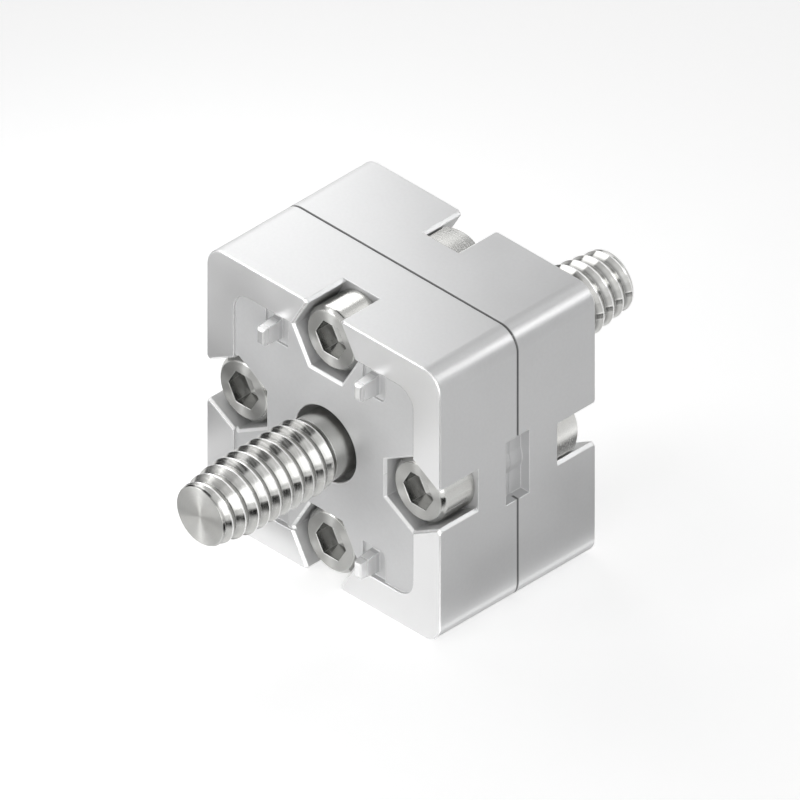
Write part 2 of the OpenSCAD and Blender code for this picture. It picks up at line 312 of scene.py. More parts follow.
class SharedEffects:
    """Node groups that more than one finish uses, each built once."""

    def __init__(self) -> None:
        """Build all the groups."""
        self.edge_light = self._edge_light()
        self.grain = self._grain()
        self.turned = self._turned()
        self.thread = self._thread()

    @staticmethod
    def _start(name: str, inputs: dict[str, float | Triple],
               outputs: Sequence[str]) -> tuple[Graph, Node, Node]:
        """Start a group, whose sockets are numbers, or vectors where they are called Normal.

        Args:
            name: Name of the group.
            inputs: Default value of each input, by its name.
            outputs: Name of each output.

        Returns:
            The graph, its input node and its output node.
        """
        tree = bpy.data.node_groups.new(name, "ShaderNodeTree")
        for way, keys in (("INPUT", inputs), ("OUTPUT", outputs)):
            for key in keys:
                kind = "NodeSocketVector" if key == "Normal" else "NodeSocketFloat"
                socket = tree.interface.new_socket(name=key, in_out=way, socket_type=kind)
                if way == "INPUT":
                    socket.default_value = inputs[key]
        graph = Graph(tree)
        return graph, graph.add("NodeGroupInput"), graph.add("NodeGroupOutput")

    def _edge_light(self) -> NodeTree:
        """Group that finds broken edges, where the finishes paint a highlight.

        Returns:
            The group: its mask is 1 on an edge, and its normal rounds that edge.
        """
        edges = {"Radius": 0.2 * MM, "Gain": 6.0}
        graph, given, result = self._start("edge_light", edges, ("Mask", "Normal"))
        bevel = graph.fill(graph.add("ShaderNodeBevel", samples=6), Radius=given.outputs["Radius"])
        surface = graph.add("ShaderNodeNewGeometry").outputs
        along = graph.vector("DOT_PRODUCT", bevel.outputs["Normal"], surface["Normal"])
        turned = graph.math("SUBTRACT", 1.0, along.outputs["Value"])
        gained = graph.times(turned, given.outputs["Gain"])
        # A flat face keeps its own normal, because the smoothed one leans towards its rounded edges
        sides = graph.split(graph.vector("ABSOLUTE", surface["True Normal"]).outputs[0])
        squarest = graph.math("MAXIMUM", graph.math("MAXIMUM", sides["X"], sides["Y"]), sides["Z"])
        flat = graph.math("GREATER_THAN", squarest, 0.9999)
        astray = graph.vector("SUBTRACT", surface["True Normal"], surface["Normal"])
        mended = graph.vector("ADD", bevel.outputs["Normal"], graph.scaled(astray.outputs[0], flat))
        graph.fill(result, Mask=graph.math("MINIMUM", gained, 1.0), Normal=graph.unit(mended.outputs[0]))
        return graph.tree

    def _grain(self) -> NodeTree:
        """Group with two scales of grain: fine pitting and slow clouds of tone.

        Returns:
            The group: Fine and Cloud lie round 0.5, and Height is in metres for a Bump node.
        """
        sizes = {"Fine Size": 0.4 * MM, "Cloud Size": 12 * MM, "Depth": 0.01 * MM}
        graph, given, result = self._start("grain", sizes, ("Fine", "Cloud", "Height"))
        place = graph.place()
        for key, detail in (("Fine", 3.0), ("Cloud", 2.0)):
            noise = graph.add("ShaderNodeTexNoise", noise_dimensions="3D")
            scale = graph.math("DIVIDE", 1.0, given.outputs[f"{key} Size"])
            graph.fill(noise, Vector=place, Scale=scale, Detail=detail)
            graph.put(noise.outputs["Fac"], result.inputs[key])
            if key == "Fine":
                graph.fill(result, Height=graph.times(noise.outputs["Fac"], given.outputs["Depth"]))
        return graph.tree

    def _turned(self) -> NodeTree:
        """Group with the marks that a lathe leaves round the local Z axis.

        Returns:
            The group: Ring is a fine tone along the radius and the axis, End is 1 on a face
            square to the axis, and Normal leans to and fro across the rings of such a face.
        """
        marks = {"Spacing": 0.15 * MM, "Lean": 0.5, "Normal": (0.0, 0.0, 0.0)}
        graph, given, result = self._start("turned_marks", marks, ("Ring", "End", "Normal"))
        place = graph.add("ShaderNodeTexCoord").outputs
        parts = graph.split(place["Object"])
        slant = graph.math("ADD", graph.radius(parts["X"], parts["Y"]), parts["Z"])
        tones = []
        for scale in (1.0, 9.0):
            ring = graph.add("ShaderNodeTexNoise", noise_dimensions="1D")
            graph.fill(ring, W=graph.math("DIVIDE", slant, given.outputs["Spacing"]), Scale=scale, Detail=2.0)
            tones.append(ring.outputs["Fac"])
        end = graph.rise(graph.math("ABSOLUTE", graph.split(place["Normal"])["Z"]), 0.9, 0.97)
        outward = graph.fill(graph.add("ShaderNodeCombineXYZ"), X=parts["X"], Y=parts["Y"])
        turn = graph.add("ShaderNodeVectorTransform", vector_type="VECTOR",
                         convert_from="OBJECT", convert_to="WORLD")
        graph.fill(turn, Vector=graph.unit(outward.outputs[0]))
        # The noise lies round 0.5, so the normal sways to both sides
        sway = graph.math("MULTIPLY_ADD", tones[1], 4.0, -2.0)
        lean = graph.times(graph.times(sway, given.outputs["Lean"]), end)
        leaned = graph.vector("ADD", given.outputs["Normal"], graph.scaled(turn.outputs[0], lean))
        graph.fill(result, Ring=tones[0], End=end, Normal=graph.unit(leaned.outputs[0]))
        return graph.tree

    def _thread(self) -> NodeTree:
        """Group that follows a right-hand thread round the local Z axis.

        Returns:
            The group: Groove rises from 0 on a crest to 1 in the root, Trailing is 1 on the
            flank that faces the head, and Inside is 1 along the thread and 0 on the shank.
        """
        thread = {"Start": 0.0, "Pitch": 2 * MM, "Turn": 0.0}
        graph, given, result = self._start("thread_place", thread, ("Groove", "Trailing", "Inside"))
        parts = graph.split(graph.place())
        angle = graph.math("ARCTAN2", parts["Y"], parts["X"])
        lag = graph.math("DIVIDE", graph.math("SUBTRACT", angle, given.outputs["Turn"]), 2 * math.pi)
        height = graph.math("SUBTRACT", parts["Z"], given.outputs["Start"])
        turns = graph.math("DIVIDE", height, given.outputs["Pitch"])
        phase = graph.math("FRACT", graph.math("SUBTRACT", turns, lag))
        away = graph.times(graph.math("ABSOLUTE", graph.math("SUBTRACT", phase, 0.5)), 2.0)
        graph.fill(result, Groove=graph.math("SUBTRACT", 1.0, away),
                   Trailing=graph.math("GREATER_THAN", phase, 0.5),
                   Inside=graph.rise(height, -0.1 * MM, 0.2 * MM))
        return graph.tree


# Finishes


def start_material(name: str) -> tuple[Material, Graph, Node]:
    """Make a material that holds only a Principled BSDF.

    Args:
        name: Name of the material.

    Returns:
        The material, its graph and its Principled BSDF.
    """
    material = bpy.data.materials.new(name)
    material.use_nodes = True
    graph = Graph(material.node_tree)
    return material, graph, graph.tree.nodes["Principled BSDF"]


@dataclass(frozen=True)
class CastFinish:
    """Satin surface of a tumbled die casting, with painted highlights on its edges, chamfers and lug tips, a
    painted shadow line in its seam, and machined end planes and bore that are glossier and painted lighter.

    The object's Y is the profile axis, and depth is the distance from the joint along it.
    """

    colour: Colour = (0.62, 0.622, 0.625)
    edge_highlight_colour: Colour = (0.93, 0.93, 0.93)
    faced_lit_colour: Colour = (0.8, 0.8, 0.8)
    seam_shadow_colour: Colour = (0.1, 0.1, 0.1)
    metallic: float = 0.3
    faced_metallic: float = 0.7
    roughness: float = 0.39
    faced_roughness: float = 0.34
    polish_gloss: float = 0.12
    edge_radius: float = 0.22 * MM
    edge_gain: float = 8.0
    pit_size: float = 0.5 * MM
    cloud_size: float = 14 * MM
    skin_depth: float = 0.006 * MM
    skin_strength: float = 0.35
    cloud_tone: tuple[float, float] = (0.975, 1.02)
    pit_tone: tuple[float, float] = (0.985, 1.012)
    faced_plane: float = 14.85 * MM
    bore_r: float = 5.9 * MM
    bore_start: float = 8.0 * MM
    seam_half: float = 0.14 * MM
    side_face: float = 21.2 * MM
    mouth_start: float = 11.0 * MM
    lug_foot: float = 15.3 * MM
    lug_tip: float = 17.6 * MM

    def _faced(self, graph: Graph, parts: Parts, depth: Value) -> NodeSocket:
        """Mask of what is machined, the end plane and the bore, which are glossier and painted lighter; in
        the bore the lighter colour is painted light against its shade.

        Args:
            graph: The material's graph.
            parts: The surface's place, taken apart.
            depth: Distance from the joint.

        Returns:
            The mask.
        """
        outmost = graph.rise(depth, self.faced_plane - 0.05 * MM, self.faced_plane + 0.05 * MM)
        across = graph.radius(parts["X"], parts["Z"])
        bored = graph.times(graph.fall(across, self.bore_r, self.bore_r + 0.08 * MM),
                            graph.rise(depth, self.bore_start, self.bore_start + MM))
        return graph.math("MAXIMUM", outmost, bored)

    def _seam(self, graph: Graph, parts: Parts, depth: Value) -> NodeSocket:
        """Mask of the painted shadow line in the gap where the halves meet, on the outer faces only.

        Args:
            graph: The material's graph.
            parts: The surface's place, taken apart.
            depth: Distance from the joint.

        Returns:
            The mask.
        """
        reach = graph.math("MAXIMUM", graph.math("ABSOLUTE", parts["X"]), graph.math("ABSOLUTE", parts["Z"]))
        line = graph.times(graph.fall(depth, self.seam_half, self.seam_half + 0.1 * MM),
                           graph.rise(reach, self.side_face, self.side_face + 0.4 * MM))
        return graph.times(line, 0.9)

    def _polish(self, graph: Graph, edge: Value, depth: Value) -> NodeSocket:
        """Mask of painted highlights on the edges, the pocket mouths' chamfers and the lugs' tips, which are
        also glossier.

        Args:
            graph: The material's graph.
            edge: Mask of the broken edges.
            depth: Distance from the joint, where the seam's edges get no painted highlight.

        Returns:
            The mask.
        """
        own = graph.add("ShaderNodeVectorTransform", vector_type="NORMAL",
                        convert_from="WORLD", convert_to="OBJECT")
        graph.fill(own, Vector=graph.add("ShaderNodeNewGeometry").outputs["True Normal"])
        slant = graph.math("ABSOLUTE", graph.split(own.outputs[0])["Y"])
        leaning = graph.times(graph.rise(slant, 0.2, 0.4), graph.fall(slant, 0.9, 0.96))
        outer = graph.rise(depth, self.mouth_start, self.mouth_start + 2 * MM)
        tip = graph.rise(depth, self.lug_foot, self.lug_tip)
        # Chamfers at the pocket mouths and the lugs' tips get a painted highlight
        painted_highlight = graph.math("MAXIMUM", graph.times(leaning, outer), tip)
        lit = graph.times(graph.math("MAXIMUM", edge, painted_highlight), 0.9)
        return graph.times(lit, graph.rise(depth, 0.3 * MM, 0.6 * MM))

    def material(self, effects: SharedEffects) -> Material:
        """Make the material.

        Args:
            effects: The shared node groups.

        Returns:
            The material.
        """
        material, graph, shader = start_material("satin_die_cast")
        edge = graph.group(effects.edge_light, Radius=self.edge_radius, Gain=self.edge_gain)
        grain = graph.group(effects.grain, Fine_Size=self.pit_size, Cloud_Size=self.cloud_size,
                            Depth=self.skin_depth)
        parts = graph.split(graph.place())
        depth = graph.math("ABSOLUTE", parts["Y"])
        faced = self._faced(graph, parts, depth)
        polish_and_highlight = self._polish(graph, edge["Mask"], depth)
        shade = graph.times(graph.spread(grain["Cloud"], *self.cloud_tone),
                            graph.remap(grain["Fine"], 0.25, 0.75, *self.pit_tone))
        # Machined end plane and bore: real gloss, and a lighter base colour that is painted light
        skin = graph.blend(faced, graph.scaled(self.colour, shade), self.faced_lit_colour)
        # Painted shadow in the gap between the halves
        skin = graph.blend(self._seam(graph, parts, depth), skin, self.seam_shadow_colour)
        rough = graph.spread(grain["Cloud"], self.roughness - 0.03, self.roughness + 0.04)
        smooth = graph.math("MULTIPLY_ADD", faced, self.faced_roughness - self.roughness, rough)
        metal = graph.math("MULTIPLY_ADD", faced, self.faced_metallic - self.metallic, self.metallic)
        bump = graph.fill(graph.add("ShaderNodeBump"), Strength=self.skin_strength, Distance=1.0,
                          Height=grain["Height"], Normal=edge["Normal"])
        # Painted highlight on edges, chamfers and lug tips, which are also glossier
        graph.fill(shader, Base_Color=graph.blend(polish_and_highlight, skin, self.edge_highlight_colour), Metallic=metal,
                   Roughness=graph.math("MULTIPLY_ADD", polish_and_highlight, -self.polish_gloss, smooth),
                   Normal=bump.outputs["Normal"])
        return material


@dataclass(frozen=True)
class PlatedFinish:
    """Bright zinc plate on turned or rolled steel.

    With a thread_turn, in radians, its painted root shade and crest highlights follow the thread that starts
    there.
    """

    name: str
    colour: Colour = (0.55, 0.55, 0.535)
    warm: Colour = (0.47, 0.465, 0.445)
    painted_highlight: Colour = (0.95, 0.95, 0.94)
    root_shade: Colour = (0.05, 0.05, 0.048)
    roughness: float = 0.17
    end_roughness: float = 0.4
    end_lean: float = 0.1
    anisotropy: float = 0.95
    ring_spacing: float = 0.12 * MM
    ring_tone: float = 0.05
    smear_size: float = 0.25 * MM
    cloud_size: float = 3.5 * MM
    edge_radius: float = 0.1 * MM
    edge_gain: float = 9.0
    root_shade_leading: float = 0.25
    root_shade_trailing: float = 0.6
    thread_turn: float | None = None
    thread_start: float = 0.0
    thread_pitch: float = 1.0 * MM

    def material(self, effects: SharedEffects) -> Material:
        """Make the material.

        Args:
            effects: The shared node groups.

        Returns:
            The material.
        """
        material, graph, shader = start_material(self.name)
        edge = graph.group(effects.edge_light, Radius=self.edge_radius, Gain=self.edge_gain)
        grain = graph.group(effects.grain, Fine_Size=self.smear_size, Cloud_Size=self.cloud_size, Depth=0.0)
        marks = graph.group(effects.turned, Spacing=self.ring_spacing, Lean=self.end_lean,
                            Normal=edge["Normal"])
        plate = graph.blend(graph.remap(grain["Cloud"], 0.35, 0.7, 0.0, 0.5), self.colour, self.warm)
        ringed = graph.spread(marks["Ring"], 1.0 - self.ring_tone, 1.0 + self.ring_tone / 2)
        colour, polish_and_highlight = graph.scaled(plate, ringed), graph.times(edge["Mask"], 0.9)
        if self.thread_turn is not None:
            side = graph.math("SUBTRACT", 1.0, marks["End"])
            colour, polish_and_highlight = self._threaded(graph, effects, colour, polish_and_highlight, side)
        rough = graph.spread(marks["Ring"], self.roughness - 0.03, self.roughness + 0.05)
        smear = graph.remap(grain["Fine"], 0.35, 0.75, 0.0, 0.05)
        at_end = graph.times(marks["End"], self.end_roughness - self.roughness)
        round_axis = graph.add("ShaderNodeTangent", direction_type="RADIAL", axis="Z")
        # Painted highlight on edges and thread crests, which are also less metallic
        graph.fill(shader, Base_Color=graph.blend(polish_and_highlight, colour, self.painted_highlight),
                   Roughness=graph.math("ADD", graph.math("ADD", rough, smear), at_end),
                   Metallic=graph.math("MULTIPLY_ADD", polish_and_highlight, -0.3, 1.0), Normal=marks["Normal"],
                   Anisotropic=self.anisotropy, Anisotropic_Rotation=0.25,
                   Tangent=round_axis.outputs["Tangent"])
        return material

    def _threaded(self, graph: Graph, effects: SharedEffects, colour: Value, polish_and_highlight: Value,
                  side: Value) -> tuple[NodeSocket, NodeSocket]:
        """Paint highlights on the crests of a thread, and painted shade in its roots that is darker on the
        flank facing the head.

        Args:
            graph: The material's graph.
            effects: The shared node groups.
            colour: The plate's colour.
            polish_and_highlight: The mask of its edges' painted highlight.
            side: The mask that is 0 on the turned end face and 1 elsewhere.

        Returns:
            The new colour and the new mask.
        """
        thread = graph.group(effects.thread, Start=self.thread_start, Pitch=self.thread_pitch,
                             Turn=self.thread_turn)
        inside = graph.times(thread["Inside"], side)
        root = graph.rise(thread["Groove"], 0.45, 1.0)
        held = graph.math("MULTIPLY_ADD", thread["Trailing"], self.root_shade_trailing - self.root_shade_leading,
                          self.root_shade_leading)
        # Painted shade in the thread's roots, darker on the flank that faces the head
        shaded_roots = graph.times(graph.times(root, held), inside)
        # Painted highlight along the thread's crests
        crest = graph.times(graph.fall(thread["Groove"], 0.08, 0.14), inside)
        return graph.blend(shaded_roots, colour, self.root_shade), graph.math("MAXIMUM", polish_and_highlight, crest)


@dataclass(frozen=True)
class FloorFinish:
    """Matt white studio floor that a camera sees as plain white, with the object's shadow."""

    colour: Colour = (0.75, 0.75, 0.75)
    roughness: float = 0.9
    specular: float = 0.1
    glow: float = 0.56

    def material(self) -> Material:
        """Make the material.

        Returns:
            The material.
        """
        material, graph, shader = start_material("white_studio_floor")
        graph.fill(shader, Base_Color=(*self.colour, 1.0), Roughness=self.roughness,
                   Specular_IOR_Level=self.specular)
        light = graph.fill(graph.add("ShaderNodeEmission"), Strength=graph.times(graph.seen(), self.glow))
        both = graph.add("ShaderNodeAddShader")
        graph.put(shader.outputs[0], both.inputs[0])
        graph.put(light.outputs[0], both.inputs[1])
        graph.fill(graph.tree.nodes["Material Output"], Surface=both.outputs[0])
        return material


# Meshes of turned pieces


@dataclass
class RingStack:
    """A solid made of closed rings round the local Z axis, all with as many points.

    Each ring is a radius and a height for every angle, so round, hexagonal, lobed and
    helical outlines join into one skin of quads. A hollow stack starts and ends on the
    same ring, and any other is closed at the axis. An edge stays sharp above the angle
    sharp, in degrees, and points closer than weld, in metres, become one.
    """

    segments: int = 96
    hollow: bool = False
    sharp: float = 26.0
    weld: float = 2e-7
    rings: list[Ring] = field(default_factory=list)

    @property
    def angles(self) -> np.ndarray:
        """Angle of each point of a ring, in radians."""
        return np.arange(self.segments) * (2 * math.pi / self.segments)

    def ring(self, radius: float | np.ndarray, height: float | np.ndarray) -> None:
        """Add a ring.

        Args:
            radius: Radius, or one for each angle, in millimetres.
            height: Height, or one for each angle, in millimetres.
        """
        one = np.ones(self.segments)
        self.rings.append((radius * one, height * one))

    def rounded(self, profile: Sequence[tuple[float, float, float]], steps: int = 3) -> None:
        """Add round rings along a line whose corners are rounded.

        Args:
            profile: Radius, height and corner radius of each corner, in millimetres.
            steps: Rings on each rounded corner, less one.
        """
        corners = [np.array(p[:2], float) for p in profile]
        for i, (point, entry) in enumerate(zip(corners, profile)):
            if entry[2] <= 0 or i in (0, len(corners) - 1):
                self.ring(*point)
                continue
            to_last, to_next = corners[i - 1] - point, corners[i + 1] - point
            back, ahead = np.linalg.norm(to_last), np.linalg.norm(to_next)
            reach = min(entry[2], 0.45 * back, 0.45 * ahead)
            first, last = point + to_last / back * reach, point + to_next / ahead * reach
            for step in range(steps + 1):
                t = step / steps
                self.ring(*((1 - t) ** 2 * first + 2 * t * (1 - t) * point + t**2 * last))

    def thread(self, crest: Callable[[np.ndarray], np.ndarray], start: float, stop: float, pitch: float,
               depth: float, turn: float, flat: float, steps: int = 4) -> None:
        """Add rings that climb with a right-hand thread, from start to stop.

        Args:
            crest: Crest radius at each height.
            start: Height where the thread begins.
            stop: Height where it ends.
            pitch: Distance between neighbouring crests.
            depth: Depth of the groove.
            turn: Angle at which a crest lies at the height start, in radians.
            flat: Width of the crest's flat.
            steps: Rings on each flank.
        """
        lead = pitch * (self.angles - turn) / (2 * math.pi)
        lead -= pitch * np.floor(lead / pitch)
        fall = np.linspace(0.0, 1.0, steps + 1)
        rise = fall * (pitch - flat) / 2 + flat / 2
        offsets = np.concatenate([rise, pitch - rise[-2::-1]])
        falls = np.concatenate([fall, fall[-2::-1]])
        for turns in range(-1, int(math.ceil((stop - start) / pitch)) + 1):
            for offset, share in zip(offsets, falls):
                height = start + lead + pitch * turns + offset
                clamped = np.clip(height, start, stop)
                away = np.abs(((clamped - start - lead) / pitch + 0.5) % 1.0 - 0.5) * pitch
                cut = np.clip((away - flat / 2) / ((pitch - flat) / 2), 0, 1)
                level = np.where(clamped == height, share, cut)
                self.ring(crest(clamped) - depth * level, clamped)

    def build(self, name: str) -> Object:
        """Make the mesh object, weld it, drop its slivers and shade it.

        Args:
            name: Name of the object.

        Returns:
            The object, in metres, linked to the scene.
        """
        count, last = self.segments, (len(self.rings) - 1) * self.segments
        cos, sin = np.cos(self.angles), np.sin(self.angles)
        points = [np.stack([r * cos, r * sin, z], axis=1) for r, z in self.rings]
        sides = [(j, (j + 1) % count) for j in range(count)]
        faces = [(i + j, i + k, i + count + k, i + count + j)
                 for j, k in sides for i in range(0, last, count)]
        if not self.hollow:
            points.append(np.array([[0, 0, z.mean()] for z in (self.rings[0][1], self.rings[-1][1])]))
            faces += [(last + count, k, j) for j, k in sides]
            faces += [(last + count + 1, last + j, last + k) for j, k in sides]
        mesh = bpy.data.meshes.new(name)
        mesh.from_pydata((np.concatenate(points) * MM).tolist(), [], faces)
        work = bmesh.new()
        work.from_mesh(mesh)
        bmesh.ops.remove_doubles(work, verts=work.verts, dist=self.weld)
        bmesh.ops.dissolve_degenerate(work, edges=work.edges, dist=self.weld)
        bmesh.ops.recalc_face_normals(work, faces=work.faces)
        work.to_mesh(mesh)
        work.free()
        mesh.polygons.foreach_set("use_smooth", [True] * len(mesh.polygons))
        mesh.set_sharp_from_angle(angle=math.radians(self.sharp))
        piece = bpy.data.objects.new(name, mesh)
        bpy.context.scene.collection.objects.link(piece)
        return piece


def hexagon_radius(angles: np.ndarray, flats: float, corner: float, crown: float = 0.0) -> np.ndarray:
    """Radius of a hexagon's outline at each angle.

    Args:
        angles: Angles in radians.
        flats: Width across the flats.
        corner: Angle of one corner, in radians.
        crown: Share by which the outline leans towards the circle through its corners.

    Returns:
        The radius at each angle.
    """
    off = (angles - corner) % (math.pi / 3) - math.pi / 6
    straight = flats / 2 / np.cos(off)
    return (1 - crown) * straight + crown * flats / math.sqrt(3)


def six_lobe_radius(angles: np.ndarray, across: float) -> np.ndarray:
    """Radius of a six-lobe drive's outline at each angle.

    Args:
        angles: Angles in radians.
        across: Diameter of the circle through the tips of its lobes.

    Returns:
        The radius at each angle.
    """
    lobe = across / 8
    reach = across / 2 - lobe
    off = (angles + math.pi / 6) % (math.pi / 3) - math.pi / 6
    inside = np.maximum(lobe**2 - (reach * np.sin(off)) ** 2, 0)
    tip = np.where(inside > 0, reach * np.cos(off) + np.sqrt(inside), 0)
    return np.maximum(tip, 0.4 * across)


def settle(piece: Object, pose: Sequence[Vector], slot: str, *materials: Material) -> None:
    """Put a turned piece in place, dress it, tie it to the body and let it stand for its CAD node.

    Args:
        piece: The piece, built round its own Z axis and named after its node.
        pose: Where its origin goes, in millimetres, and the directions of its Z and X axes.
        slot: The record's material slot; not used.
        *materials: Its materials, by the index that its faces carry.
    """
    origin, along, across = pose
    turn = Matrix((across, along.cross(across), along)).transposed().to_4x4()
    piece.matrix_world = Matrix.Translation(origin * MM) @ turn
    for material in materials:
        piece.data.materials.append(material)
    node = piece.name.removesuffix("_turned")
    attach(piece, "root")
    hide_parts(node)
    LOG.info("%s stands for %s, %d faces", piece.name, node, len(piece.data.polygons))


# Sub-assemblies


@dataclass
class Castings:
    """The two cast halves, which keep their CAD solids."""

    nodes: tuple[str, ...] = ("front_housing", "rear_housing")
    finish: CastFinish = CastFinish()

    def dress(self, frame: dict, effects: SharedEffects) -> None:
        """Give both halves their finish.

        Args:
            effects: The shared node groups.
        """
        material = self.finish.material(effects)
        for name in self.nodes:
            node = frame["nodes"][name]
            for slot in node.material_slots:
                slot.material = material
            LOG.info("%s dressed", name)


@dataclass
class ProfileScrew:
    """Thread-forming screw, built head down with its seat at the local plane Z = 0.

    The crest's turn is the angle, in degrees, at which a crest leaves the shank.
    """

    end: End
    length: float
    point_length: float
    crest_turn: float
    seat: float = 9.0
    shank_r: float = 4.9
    shank_length: float = 8.25
    crest_r: float = 5.55
    thread_depth: float = 0.6
    pitch: float = 2.13
    crest_flat: float = 0.2
    point_r: float = 4.65
    point_chamfer: float = 0.4
    head_r: float = 10.0
    head_height: float = 7.4
    head_chamfer: float = 0.6
    head_round: float = 0.15
    neck: float = 0.25
    drive_across: float = 8.8
    drive_depth: float = 3.8
    drive_chamfer: float = 0.25

    def finish(self) -> PlatedFinish:
        """The finish of this screw, whose painted root shade and crest highlights follow its own thread."""
        return PlatedFinish(f"plated_{self.end.label}_profile_screw", thread_start=self.shank_length * MM,
                            thread_pitch=self.pitch * MM, thread_turn=math.radians(self.crest_turn))

    def crest(self, height: np.ndarray) -> np.ndarray:
        """Crest radius along the screw, with its run-in and its tapered point.

        Args:
            height: Heights above the seat.

        Returns:
            The radius at each height.
        """
        run_in = self.pitch / 2
        climb = (self.crest_r + self.thread_depth - self.shank_r) / run_in
        entering = self.crest_r + np.minimum(0, height - self.shank_length - run_in) * climb
        start, stop = self.length - self.point_length, self.length - self.point_chamfer
        taper = np.clip((height - start) / (stop - start), 0, 1) * (self.crest_r - self.point_r)
        return np.minimum(entering, self.crest_r) - taper

    def build(self) -> Object:
        """Build the mesh.

        Returns:
            The screw, not yet in place.
        """
        stack = RingStack(segments=144)
        drive = six_lobe_radius(stack.angles, self.drive_across)
        bottom, stop = -self.head_height, self.length - self.point_chamfer
        for radius, height in ((drive * 0.25, bottom + self.drive_depth), (drive, bottom + self.drive_depth),
                               (drive, bottom + self.drive_chamfer), (drive + self.drive_chamfer, bottom)):
            stack.ring(radius, height)
        stack.rounded([(self.head_r - 2, bottom, 0),
                       (self.head_r - self.head_chamfer, bottom, self.head_round),
                       (self.head_r, bottom + self.head_chamfer, self.head_round),
                       (self.head_r, 0, self.head_round), (self.shank_r + self.neck, 0, 0),
                       (self.shank_r, self.neck, 0), (self.shank_r, 2, 0)])
        stack.ring(self.shank_r, self.shank_length)
        stack.thread(self.crest, self.shank_length, stop, self.pitch, self.thread_depth,
                     math.radians(self.crest_turn), self.crest_flat)
        end_r = self.point_r - self.point_chamfer / 2
        stack.rounded([(self.point_r - 0.02, stop, 0), (end_r, self.length, 0.08),
                       (end_r - 1, self.length, 0)])
        stack.ring(end_r * 0.5, self.length)
        stack.ring(0.15, self.length)
        return stack.build(f"{self.end.label}_profile_screw_turned")

    def dress(self, material: Material) -> None:
        """Build the screw, put it in place and give it its finish.

        Args:
            material: Its material.
        """
        along = Vector(self.end.value)
        across = Vector((1.0 if self.end is End.FRONT else -1.0, 0.0, 0.0))
        settle(self.build(), (along * self.seat, along, across), "plated_profile_screw", material)


@dataclass
class ClampPiece:
    """A piece on a clamp axis, which sits on the floor of a pocket."""

    place: Place
    axis_distance: float = 16.85
    floor: float = 7.6

    def seat(self, along: Vector) -> Vector:
        """Where the piece's origin goes, in millimetres, on the side that it faces."""
        return Vector(self.place.value) * self.axis_distance + along * self.floor


@dataclass
class ClampScrew(ClampPiece):
    """Socket head screw, built with its seat at the local plane Z = 0 and its head above."""

    length: float = 20.0
    shank_r: float = 3.0
    head_r: float = 5.0
    head_height: float = 6.0
    head_chamfer: float = 0.6
    head_round: float = 0.25
    head_edge: float = 0.1
    socket_flats: float = 5.0
    socket_depth: float = 3.0
    socket_chamfer: float = 0.16
    drill_depth: float = 0.75
    thread_length: float = 6.3
    run_out: float = 0.3
    thread_pitch: float = 1.0
    thread_depth: float = 0.55
    crest_flat: float = 0.12
    tip_chamfer: float = 0.62
    tip_height: float = 0.32
    tip_step: float = 0.3
    tip_slope: float = 0.9

    def crest(self, height: np.ndarray) -> np.ndarray:
        """Crest radius along the thread, which starts small behind the chamfered tip.

        Args:
            height: Heights above the seat.

        Returns:
            The radius at each height.
        """
        start = self.tip_height - self.length
        opening = self.tip_step - (height - start) * self.tip_slope
        return self.shank_r - np.maximum(0.02, opening)

    def build(self) -> Object:
        """Build the mesh.

        Returns:
            The screw, not yet in place.
        """
        stack = RingStack(segments=96)
        low, top = -self.length, self.head_height
        start, stop = low + self.tip_height, low + self.thread_length
        stack.rounded([(0.2, low, 0), (self.shank_r - 1.0, low, 0),
                       (self.shank_r - self.tip_chamfer, low, 0.1), (self.shank_r - self.tip_step, start, 0)])
        stack.thread(self.crest, start, stop, self.thread_pitch, self.thread_depth, 0.0, self.crest_flat)
        stack.rounded([(self.shank_r, stop + self.run_out, 0), (self.shank_r, 0, 0),
                       (self.head_r - self.head_edge, 0, 0), (self.head_r, self.head_edge, 0),
                       (self.head_r, top - self.head_chamfer, self.head_round),
                       (self.head_r - self.head_chamfer, top, self.head_round),
                       (self.head_r - 2 * self.head_chamfer, top, 0)], steps=4)
        mouth, bottom = hexagon_radius(stack.angles, self.socket_flats, 0.0), top - self.socket_depth
        for radius, height in ((mouth + self.socket_chamfer, top), (mouth + 0.04, top - 0.05),
                               (mouth, top - self.socket_chamfer), (mouth, bottom),
                               (mouth * 0.96, bottom - 0.02), (0.3, bottom - self.drill_depth)):
            stack.ring(radius, height)
        return stack.build(f"clamp_screw_{self.place.label}_turned")

    def in_socket(self, middle: Vector) -> bool:
        """Whether the middle of a face, in metres, lies inside the socket."""
        return 2 * MM < middle.z < (self.head_height - 0.1) * MM and middle.xy.length < 2.95 * MM

    def dress(self, material: Material, inside: Material) -> None:
        """Build the screw, put it in place and give it its finish.

        Args:
            material: Its material.
            inside: The material of its socket.
        """
        piece = self.build()
        for face in piece.data.polygons:
            face.material_index = int(self.in_socket(face.center))
        along = Vector(End.FRONT.value)
        pose = (self.seat(along), along, Vector((1.0, 0.0, 0.0)))
        settle(piece, pose, "plated_clamp_screw", material, inside)


